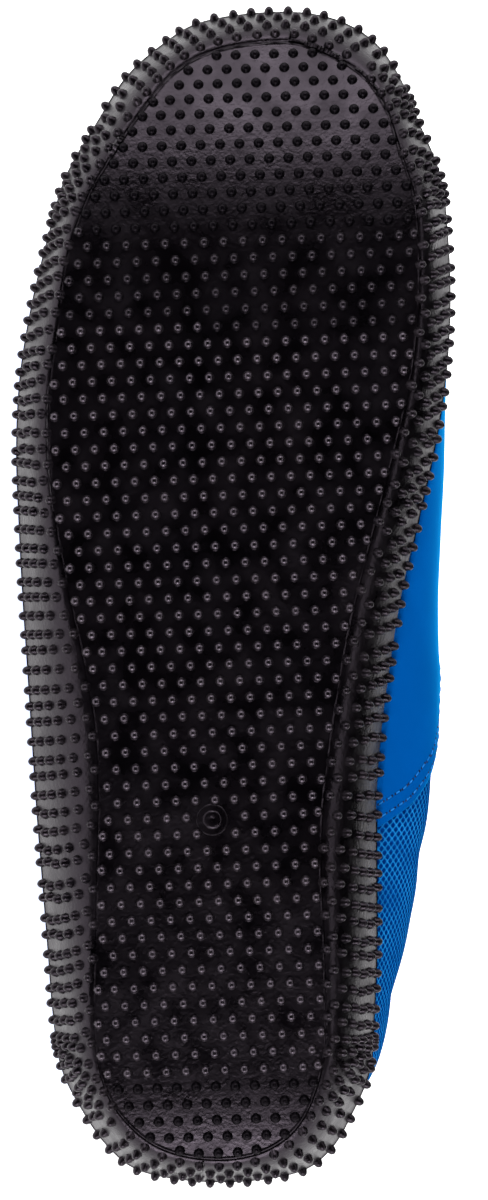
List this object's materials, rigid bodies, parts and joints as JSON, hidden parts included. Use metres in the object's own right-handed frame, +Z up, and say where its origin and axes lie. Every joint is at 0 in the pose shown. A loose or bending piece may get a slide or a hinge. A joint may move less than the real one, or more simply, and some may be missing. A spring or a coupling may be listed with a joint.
{
  "type": "water shoe",
  "caption": "Right water shoe: moulded rubber cup sole with a nubbed tread, sock-like mesh upper, smooth panel round the forefoot, bound collar and foam insole.",
  "frame": {"origin": "bottom centre of the bounding box of the shoe as it lies on its outer side", "axes": "-X towards the toe, -Y out of the tread, which leans up by about 9 degrees, +Z up, towards the inner side of the foot"},
  "size_m": [0.2776, 0.0878, 0.1045],
  "materials": {
    "sole_rubber": "matt moulded, with fine nubs",
    "insole_foam": "matt",
    "upper_knit": "open knit mesh",
    "panel_film": "satin"
  },
  "bodies": {
    "root": {"outsole": "sole_rubber", "insole": "insole_foam", "upper": "upper_knit", "vamp_panel": "panel_film"}
  },
  "joints": []
}
